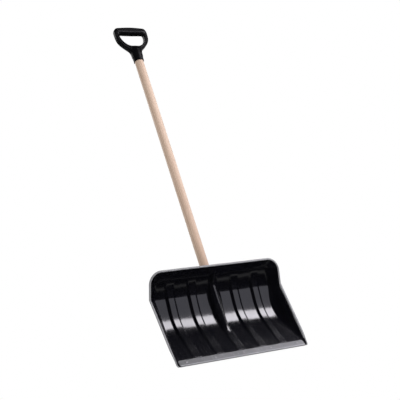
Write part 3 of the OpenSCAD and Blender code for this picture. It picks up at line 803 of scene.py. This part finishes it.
def strip_mesh():
    e = 0.25
    sec = []
    top = 2 * FOLD_R
    # outside: from the sole's rear edge, round the fold, to the top leaf's rear edge
    sec += [(STRIP_W - e + e * math.cos(RAD(a)), e + e * math.sin(RAD(a))) for a in (0, -45, -90)]
    sec += [(s, 0.0) for s in np.linspace(STRIP_W - 1.5, FOLD_R + 0.4, 14)]
    sec += arc(FOLD_R, FOLD_R, FOLD_R, 270, 90, 19)
    sec += [(s, top) for s in np.linspace(FOLD_R + 0.4, STRIP_W - 1.5, 14)]
    sec += [(STRIP_W - e + e * math.cos(RAD(a)), top - e + e * math.sin(RAD(a))) for a in (90, 45, 0)]
    # inside, back again
    sec += [(STRIP_W, top - STRIP_T + 0.2), (STRIP_W - 0.2, top - STRIP_T)]
    sec += [(s, top - STRIP_T) for s in np.linspace(STRIP_W - 2, FOLD_R, 5)]
    sec += arc(FOLD_R, FOLD_R, FOLD_R - STRIP_T, 90, 270, 9)[1:-1]
    sec += [(s, STRIP_T) for s in np.linspace(FOLD_R, STRIP_W - 2, 5)]
    sec += [(STRIP_W - 0.2, STRIP_T), (STRIP_W, STRIP_T - 0.2)]
    sec = np.array(sec)
    s, h = sec[:, 0], sec[:, 1]
    r = 7.0
    d = np.minimum(np.clip(STRIP_W - s, 0, r), np.clip(s * 2.2, 0, r))
    reach = STRIP_HALF - r + np.sqrt(np.maximum(r * r - (r - d) ** 2, 0))
    u = np.linspace(0, 1, 140) ** 0.80
    u = np.concatenate([-u[:0:-1], u])
    x = u[:, None] * reach[None, :]
    ss = np.broadcast_to(s, x.shape).copy()
    hh = np.broadcast_to(h, x.shape).copy()
    # knocks from stones along the fold, and a slight ripple of the top leaf
    outer = np.zeros_like(s)
    outer[:50] = 1
    for _ in range(34):
        cx, depth, w = RNG.uniform(-228, 228), RNG.uniform(0.04, 0.16), RNG.uniform(2.0, 6.0)
        g = depth * np.exp(-((x - cx) / w) ** 2) * np.exp(-((ss - 0.4) / 3.0) ** 2)
        ss += g
    rip = 0.05 * np.sin(x / 17.0 + 1.0) + 0.04 * np.sin(x / 41.0)
    hh -= (np.abs(rip)) * (hh > FOLD_R + 1) * smoothstep(ss, 8.0, 22.0)
    p = on_sole(x, ss, hh)
    n_s = len(s)
    f = grid_faces(len(u), n_s, 0, False, True)
    f.append(list(range(n_s)))
    f.append([(len(u) - 1) * n_s + q for q in range(n_s)][::-1])
    v = p.reshape(-1, 3)
    wear = np.exp(-((ss.ravel() - 0.3) / 2.2) ** 2)
    return v, f, wear


v, f, w = strip_mesh()
strip = make_piece("folded_wear_strip", v, f, strip_material(), "wear_strip", sharp=40, wear=w)


# --- rivets -----------------------------------------------------------------------------------
def merged(parts):
    vs, fs, n = [], [], 0
    for v, f in parts:
        vs.append(v)
        fs += [[q + n for q in face] for face in f]
        n += len(v)
    return np.concatenate(vs), fs


parts = []
top = 2 * FOLD_R
for k in range(5):
    x0, s0 = (k - 2) * 105.0, STRIP_W * 0.58
    dome = [(4.5 * math.sin(RAD(a)), top + 0.32 + 0.86 * (math.cos(RAD(a)) ** 0.9 if a < 90 else 0)) for a in np.linspace(6, 90, 14)]
    prof = [(0, 0.02), (1.0, 0.06), (1.9, 0.03), (2.25, 0.0), (2.4, 0.12), (2.4, top - 0.4), (3.6, top + 0.02), (4.35, top + 0.04), (4.5, top + 0.18)]
    prof += dome[::-1] + [(0, top + 1.16)]
    tilt = RNG.uniform(-0.02, 0.02, 2)
    v, f = lathe(prof, 40, lambda x, y, h: (x, y, h))
    v[:, 2] += np.clip(v[:, 2] - top, 0, 2) * (tilt[0] * v[:, 0] + tilt[1] * v[:, 1])
    parts.append((on_sole(x0 + v[:, 0], s0 + v[:, 1], v[:, 2]), f))
v, f = merged(parts)
rivets = make_piece("low_dome_rivets", v, f, rivet_material(), "strip_rivets", sharp=50)


# --- wooden shaft -----------------------------------------------------------------------------
def shaft_wobble(a, z):
    return -0.06 + 0.05 * math.sin(2 * a + z / 260.0) + 0.035 * math.sin(3 * a - z / 95.0) + 0.02 * math.sin(z / 37.0 + a)


prof = [(0, 205.0), (8, 205.0)] + arc(14.5, 206.5, 1.5, -90, 0, 5) + [(16.0, z) for z in np.linspace(210, 1197, 140)]
prof += arc(14.5, 1201.5, 1.5, 0, 90, 5) + [(8, 1203.0), (0, 1203.0)]
v, f = lathe(prof, 72, upright, shaft_wobble)
shaft = make_piece("wooden_shaft", v, f, wood_material(), "shaft", sharp=50)


# ---------------------------------------------------------------------------------------------
# the D-grip: a distance field turned into a fine mesh
# ---------------------------------------------------------------------------------------------
BAR_Z = 1290.0


def bez(p, n):
    t = np.linspace(0, 1, n + 1)[:, None]
    p = np.array(p, float)
    return p[0] * (1 - t) ** 3 + p[1] * 3 * t * (1 - t) ** 2 + p[2] * 3 * t * t * (1 - t) + p[3] * t ** 3


GH = 66.5
g_right = np.concatenate([
    bez([[16.5, -112], [17, -88], [24, -86], [42, -69.5]], 22),
    bez([[42, -69.5], [58, -55], [GH, -40], [GH, -10]], 24)[1:],
    bez([[GH, -10], [GH, 2], [62, 8.5], [50, 10.5]], 16)[1:]])
o_right = np.concatenate([[[0, -67.0]], bez([[15, -67], [34, -64], [50, -44], [50, -24]], 26),
                          bez([[50, -24], [50, -18], [48.5, -13.6], [43, -13]], 8)[1:]])
r_right = np.concatenate([bez([[25, -80], [44, -66], [62, -50], [61.5, -20]], 22),
                          bez([[61.5, -20], [61.4, -16.8], [55.2, -16.8], [55, -20]], 6)[1:-1],
                          bez([[55, -20], [54.5, -43], [40, -62], [22, -73]], 22)])


def mirrored(p):
    q = p[::-1].copy()
    q[:, 0] *= -1
    return np.concatenate([p, q])


def sd_poly(p, poly):
    """Signed distance of points p from a closed polygon, negative inside."""
    d = np.full(len(p), 1e9)
    s = np.ones(len(p))
    for i in range(len(poly)):
        a, b = poly[i], poly[i - 1]
        e = b - a
        if e @ e < 1e-9:
            continue
        w = p - a
        q = w - e * np.clip((w @ e) / (e @ e), 0, 1)[:, None]
        d = np.minimum(d, (q * q).sum(1))
        c0, c1, c2 = p[:, 1] >= a[1], p[:, 1] < b[1], e[0] * w[:, 1] > e[1] * w[:, 0]
        s = np.where((c0 & c1 & c2) | (~c0 & ~c1 & ~c2), -s, s)
    return s * np.sqrt(d)


STEP2 = 0.5


class Table:
    """A signed distance kept on a fine 2D grid, read back by bilinear interpolation."""

    def __init__(self, poly, x0, x1, z0, z1):
        self.x0, self.z0 = x0, z0
        gx = np.arange(x0, x1 + STEP2, STEP2)
        gz = np.arange(z0, z1 + STEP2, STEP2)
        g = np.stack(np.meshgrid(gx, gz, indexing="ij"), -1).reshape(-1, 2)
        self.d = sd_poly(g, poly).reshape(len(gx), len(gz))

    def __call__(self, x, z):
        fx = np.clip((x - self.x0) / STEP2, 0, self.d.shape[0] - 1.001)
        fz = np.clip((z - self.z0) / STEP2, 0, self.d.shape[1] - 1.001)
        i, j = fx.astype(int), fz.astype(int)
        u, v = fx - i, fz - j
        d = self.d
        return (d[i, j] * (1 - u) + d[i + 1, j] * u) * (1 - v) + (d[i, j + 1] * (1 - u) + d[i + 1, j + 1] * u) * v


Z_LO, Z_HI = -136.0, 18.0
T_OUT = Table(mirrored(g_right), -2.0, 72.0, Z_LO, Z_HI)
T_OPEN = Table(mirrored(o_right), -2.0, 72.0, Z_LO, Z_HI)
T_REC = Table(r_right, -2.0, 72.0, Z_LO, Z_HI)
ZC = -132.0
collar = np.array([[18.15, ZC], [18.75, ZC + 0.6], [19.95, ZC + 31.5], [19.35, ZC + 48], [14.75, ZC + 57], [8, ZC + 62]])
T_COL = Table(mirrored(collar), -2.0, 72.0, Z_LO, Z_HI)


def grip_field(x, y, z):
    """x across, y front to back from the shaft's axis, z above the bar's axis."""
    ax, ay = np.abs(x), np.abs(y)
    d2 = smax(T_OUT(ax, z), -T_OPEN(ax, z), 1.5)
    # the arms' edges are rounder towards the ends of the bar
    r = 3.4 + 3.8 * smoothstep(z, -50.0, -12.0)
    q0, q1 = d2 + r, ay - 11.0 + r
    arms = np.hypot(np.maximum(q0, 0), np.maximum(q1, 0)) + np.minimum(np.maximum(q0, q1), 0) - r
    # hand bar: a rounded square, rounder and a little slimmer towards its ends
    e = np.clip(ax / 58.0, 0, 1) ** 2
    half = 13.25 - 0.75 * e
    rc = 7.2 + 3.2 * e
    # its top is crowned and its underside straight
    crown = 1.5 * np.clip(ax / 60.0, 0, 1) ** 2
    q0, q1 = ay - half + rc, np.abs(z + crown) - (half - crown) + rc
    bar = np.hypot(np.maximum(q0, 0), np.maximum(q1, 0)) + np.minimum(np.maximum(q0, q1), 0) - rc
    bar = smax(bar, ax - 60.0, 9.0)
    # collar round the end of the shaft
    col = T_COL(np.hypot(x, y), z)
    boss = smax(np.hypot(x, z + 111.0) - 6.0, np.maximum(y - 20.25, 10.0 - y), 1.2)
    f = smin(arms, bar, 4.5)
    f = smin(f, col, 6.0)
    f = smin(f, boss, 1.6)
    # recess along both faces of each arm
    rec = smax(T_REC(ax, z), 8.5 - ay, 1.2)
    f = smax(f, -rec, 1.3)
    # bore for the shaft, and for the screw
    bore = np.maximum(np.hypot(x, y) - 16.1, z + 86.5)
    f = smax(f, -bore, 0.8)
    f = smax(f, ax - 66.42, 1.0)
    return smax(f, z - 13.42, 0.8)


def surface_nets(field, lo, hi, h):
    ax = [np.arange(lo[k], hi[k] + h, h) for k in range(3)]
    gx, gy, gz = np.meshgrid(*ax, indexing="ij", sparse=True)
    gx, gy, gz = np.broadcast_arrays(gx, gy, gz)
    F = np.empty(gx.shape)
    for a in range(0, gx.shape[0], 24):
        F[a:a + 24] = field(gx[a:a + 24], gy[a:a + 24], gz[a:a + 24])
    S = F < 0
    n = [s - 1 for s in F.shape]
    cnt = np.zeros(n, np.int8)
    for a in (0, 1):
        for b in (0, 1):
            for c in (0, 1):
                cnt += S[a:n[0] + a, b:n[1] + b, c:n[2] + c]
    mask = (cnt > 0) & (cnt < 8)
    idx = np.full(n, -1)
    cells = np.argwhere(mask)
    idx[mask] = np.arange(len(cells))
    P = np.zeros((len(cells), 3))
    W = np.zeros(len(cells))
    corners = [(a, b, c) for a in (0, 1) for b in (0, 1) for c in (0, 1)]
    for p in corners:
        for k in range(3):
            if p[k] == 1:
                continue
            q = list(p)
            q[k] = 1
            fa = F[tuple((cells + p).T)]
            fb = F[tuple((cells + q).T)]
            m = (fa < 0) != (fb < 0)
            t = np.where(m, fa / np.where(fa == fb, 1, fa - fb), 0)
            P[m] += np.array(p) + t[m, None] * (np.array(q) - np.array(p))
            W[m] += 1
    P = (cells + P / W[:, None]) * h + np.array([a[0] for a in ax])
    quads = []
    for k in range(3):
        sl0 = [slice(None)] * 3
        sl1 = [slice(None)] * 3
        sl0[k], sl1[k] = slice(0, -1), slice(1, None)
        e = np.argwhere(S[tuple(sl0)] != S[tuple(sl1)])
        inside = S[tuple(e.T)]
        a, b = [(1, 2), (2, 0), (0, 1)][k]
        ok = (e[:, a] > 0) & (e[:, b] > 0) & (e[:, a] < n[a]) & (e[:, b] < n[b])
        e, inside = e[ok], inside[ok]
        c = []
        for da, db in ((-1, -1), (0, -1), (0, 0), (-1, 0)):
            g = e.copy()
            g[:, a] += da
            g[:, b] += db
            c.append(idx[tuple(g.T)])
        q = np.stack(c, 1)
        q[~inside] = q[~inside][:, ::-1]
        quads.append(q)
    return P, np.concatenate(quads)


def settle(P, field, rounds=3):
    """Move each point onto the surface along the field's slope."""
    e = 0.08
    for _ in range(rounds):
        f = field(P[:, 0], P[:, 1], P[:, 2])
        g = np.stack([(field(P[:, 0] + (k == 0) * e, P[:, 1] + (k == 1) * e, P[:, 2] + (k == 2) * e)
                       - field(P[:, 0] - (k == 0) * e, P[:, 1] - (k == 1) * e, P[:, 2] - (k == 2) * e)) / (2 * e)
                      for k in range(3)], 1)
        g2 = np.maximum((g * g).sum(1), 0.2)
        P = P - np.clip(f / g2, -0.4, 0.4)[:, None] * g
    return P


H_GRIP = 0.85
P, Q = surface_nets(grip_field, (-68.0, -15.0 - 7.0, -134.0), (68.0, 22.5, 15.0), H_GRIP)
P = settle(P, grip_field)
ax, ay = np.abs(P[:, 0]), np.abs(P[:, 1])
# rubbed a little shinier and greyer where a glove holds it and along the outer corners
w_grip = 0.45 * smoothstep(P[:, 2], 6, 13) + 0.5 * smoothstep(ax, 62, 66) + 0.6 * (P[:, 2] < -130.5)
G = P + np.array([0, AXIS_Y, BAR_Z])
grip = make_piece("d_grip_moulding", G, Q.tolist(), grip_material(), "d_grip", sharp=60, wear=np.clip(w_grip, 0, 1))


# --- screws --------------------------------------------------------------------------------
def screw_head():
    """Domed head with a cross recess, as height over a polar grid; then its rim, seat and shank."""
    n_a, rr = 144, np.concatenate([[0.12], np.arange(0.3, 2.7, 0.12), np.arange(2.7, 4.45, 0.2), [4.5]])
    a = np.arange(n_a) * 2 * math.pi / n_a
    R, A = np.meshgrid(rr, a, indexing="ij")
    x, y = R * np.cos(A), R * np.sin(A)
    h = 0.8 + 2.0 * np.sqrt(np.clip(1 - (R / 4.62) ** 2.6, 0, 1))
    wing = lambda p, q: smoothstep(-(np.abs(p)), -0.60, -0.42) * smoothstep(-(np.abs(q)), -2.25, -1.95)
    cut = np.maximum(wing(x, y), wing(y, x))
    depth = 1.45 - 0.25 * smoothstep(R, 0.6, 2.2)
    h = h - cut * depth
    pts = [np.stack([x, y, h], -1).reshape(-1, 3)]
    for r, z in ((4.5, 0.12), (4.38, 0.0), (2.1, 0.0), (2.1, -20.0), (1.2, -23.4), (0.3, -25.0)):
        pts.append(np.stack([r * np.cos(a), r * np.sin(a), np.full(n_a, z)], -1))
    v = np.concatenate(pts)
    rings = len(rr) + 6
    f = grid_faces(rings, n_a, 0, False, True)
    c0 = len(v)
    v = np.concatenate([v, [[0, 0, v[0, 2]], [0, 0, -25.0]]])
    f += [[c0, j, (j + 1) % n_a] for j in range(n_a)]
    b = (rings - 1) * n_a
    f += [[c0 + 1, b + (j + 1) % n_a, b + j] for j in range(n_a)]
    return v, f


parts = []
for z0, seat, spin in ((232.0, TUBE_R + 2.0, 0.5), (1179.0, 18.75 + 1.5, 1.1)):
    v, f = screw_head()
    c, s = math.cos(spin), math.sin(spin)
    x, y = c * v[:, 0] - s * v[:, 1], s * v[:, 0] + c * v[:, 1]
    parts.append((np.stack([-x, AXIS_Y + seat + v[:, 2], z0 + y], 1), f))
v, f = merged(parts)
screws = make_piece("cross_head_screws", v, f, screw_material(), "shaft_screws", sharp=40)


# ---------------------------------------------------------------------------------------------
# studio: pale floor, soft light, camera
# ---------------------------------------------------------------------------------------------
def stage_material():
    m = Mat("studio_floor")
    n = m.noise(2.5, 3.0)
    return m.set(Base_Color=m.mix(n, (0.80, 0.80, 0.80), (0.84, 0.84, 0.84)), Roughness=0.8, Specular_IOR_Level=0.2)


me = bpy.data.meshes.new("studio_floor")
me.from_pydata([(-14, -14, -0.80), (14, -14, -0.80), (14, 14, -0.80), (-14, 14, -0.80)], [], [(0, 1, 2, 3)])
me.materials.append(stage_material())
floor = bpy.data.objects.new("studio_floor", me)
bpy.context.scene.collection.objects.link(floor)
floor.visible_glossy = False


def area_light(name, centre, direction, distance, width, height, radiance, color=(1, 1, 1)):
    """A soft box of a given radiance, at a distance from centre along direction, facing back at it."""
    d = Vector(direction).normalized()
    la = bpy.data.lights.new(name, "AREA")
    la.shape = "RECTANGLE"
    la.size, la.size_y = width, height
    la.energy = radiance * width * height * math.pi
    la.color = color
    ob = bpy.data.objects.new(name, la)
    ob.location = Vector(centre) + d * distance
    ob.rotation_euler = d.to_track_quat("Z", "Y").to_euler()
    ob.visible_camera = False
    bpy.context.scene.collection.objects.link(ob)
    return ob


C0 = (0.0, 0.03, 0.17)
area_light("key_softbox", C0, (0.567, -0.63, 0.53), 3.0, 1.9, 0.95, 11.2, (0.965, 0.935, 1.0))
area_light("low_fill_box", C0, (0.537, -0.826, 0.17), 3.4, 1.5, 1.57, 1.02, (0.88, 0.88, 1.0))
area_light("table_glow", C0, (0.526, -0.52, -0.67), 1.15, 1.6, 0.16, 0.3)
wood_fill = area_light("wood_fill_box", C0, (-0.44, -0.87, 0.18), 4.0, 3.0, 2.2, 1.8, (1.0, 0.985, 0.97))
wood_fill.visible_glossy = False
area_light("side_box", C0, (0.93, 0.08, 0.38), 3.0, 1.7, 1.3, 3.0)
area_light("back_box", C0, (0.12, 0.88, 0.45), 3.4, 2.4, 1.8, 3.0)
area_light("back_top_box", C0, (-0.1, 0.62, 0.78), 3.0, 3.0, 1.1, 2.5)
area_light("back_box_low", C0, (-0.08, 0.99, 0.06), 3.6, 1.0, 1.8, 3.0)

world = bpy.data.worlds.new("studio_world")
bpy.context.scene.world = world
world.use_nodes = True
# the soft light all round is not mirrored in the black plastic: only the boxes are
world.cycles_visibility.glossy = False
wt = world.node_tree
wt.nodes.clear()
w_out = wt.nodes.new("ShaderNodeOutputWorld")
seen = wt.nodes.new("ShaderNodeBackground")
seen.inputs["Color"].default_value = (1, 1, 1, 1)
seen.inputs["Strength"].default_value = 1.0
fill = wt.nodes.new("ShaderNodeBackground")
fill.inputs["Color"].default_value = (0.985, 0.99, 1.0, 1)
fill.inputs["Strength"].default_value = 0.62
path = wt.nodes.new("ShaderNodeLightPath")
both = wt.nodes.new("ShaderNodeMixShader")
wt.links.new(path.outputs["Is Camera Ray"], both.inputs[0])
wt.links.new(fill.outputs[0], both.inputs[1])
wt.links.new(seen.outputs[0], both.inputs[2])
wt.links.new(both.outputs[0], w_out.inputs["Surface"])

bpy.context.scene.view_settings.view_transform = "Standard"
bpy.context.scene.view_settings.look = "None"

cam = bpy.data.cameras.new("camera")
cam.lens, cam.sensor_width, cam.sensor_fit = 90.0, 36.0, "HORIZONTAL"
cam.clip_start, cam.clip_end = 0.05, 60.0
cam_ob = bpy.data.objects.new("camera", cam)
d = Vector((0.516, 0.775, 0.365)).normalized()
r = Vector((0.854, -0.432, -0.289))
r = (r - r.dot(d) * d).normalized()
u = r.cross(d)
cam_ob.matrix_world = Matrix.Translation(Vector((-1.716, -2.6097 - 0.003, -0.673 - 0.005763))) @ Matrix(
    ((r.x, u.x, -d.x), (r.y, u.y, -d.y), (r.z, u.z, -d.z))).to_4x4()
bpy.context.scene.collection.objects.link(cam_ob)
bpy.context.scene.camera = cam_ob
